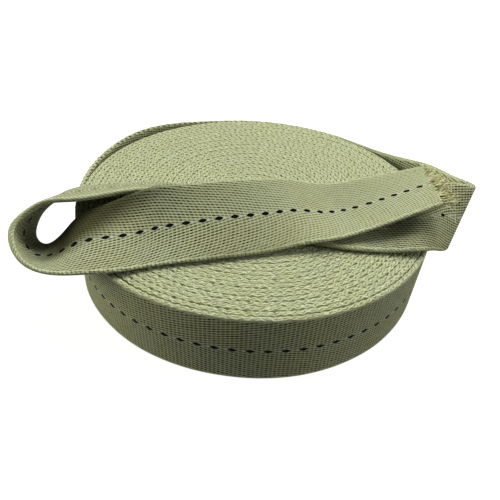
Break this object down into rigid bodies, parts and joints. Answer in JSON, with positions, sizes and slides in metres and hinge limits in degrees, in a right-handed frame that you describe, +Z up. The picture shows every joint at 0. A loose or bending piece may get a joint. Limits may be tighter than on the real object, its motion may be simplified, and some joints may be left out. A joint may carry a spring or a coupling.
{
  "type": "roll of webbing",
  "caption": "Flat roll of heavy cotton webbing lying on its side, its loose end laid over the top in a loop and frayed at the cut.",
  "frame": {"origin": "the roll's centre, on the floor it lies on", "axes": "+Z up along the roll's axis; the loose end's loop hangs past the rim towards -X and its frayed cut end points towards +X"},
  "size_m": [0.2309, 0.1923, 0.0628],
  "materials": {
    "wound_webbing": "matt woven cotton, selvedges up",
    "webbing": "matt woven cotton",
    "frayed_yarn": "loose cotton yarn"
  },
  "bodies": {
    "root": {"wound_roll": "wound_webbing", "loose_end": "webbing", "frayed_end": "frayed_yarn"}
  },
  "joints": []
}
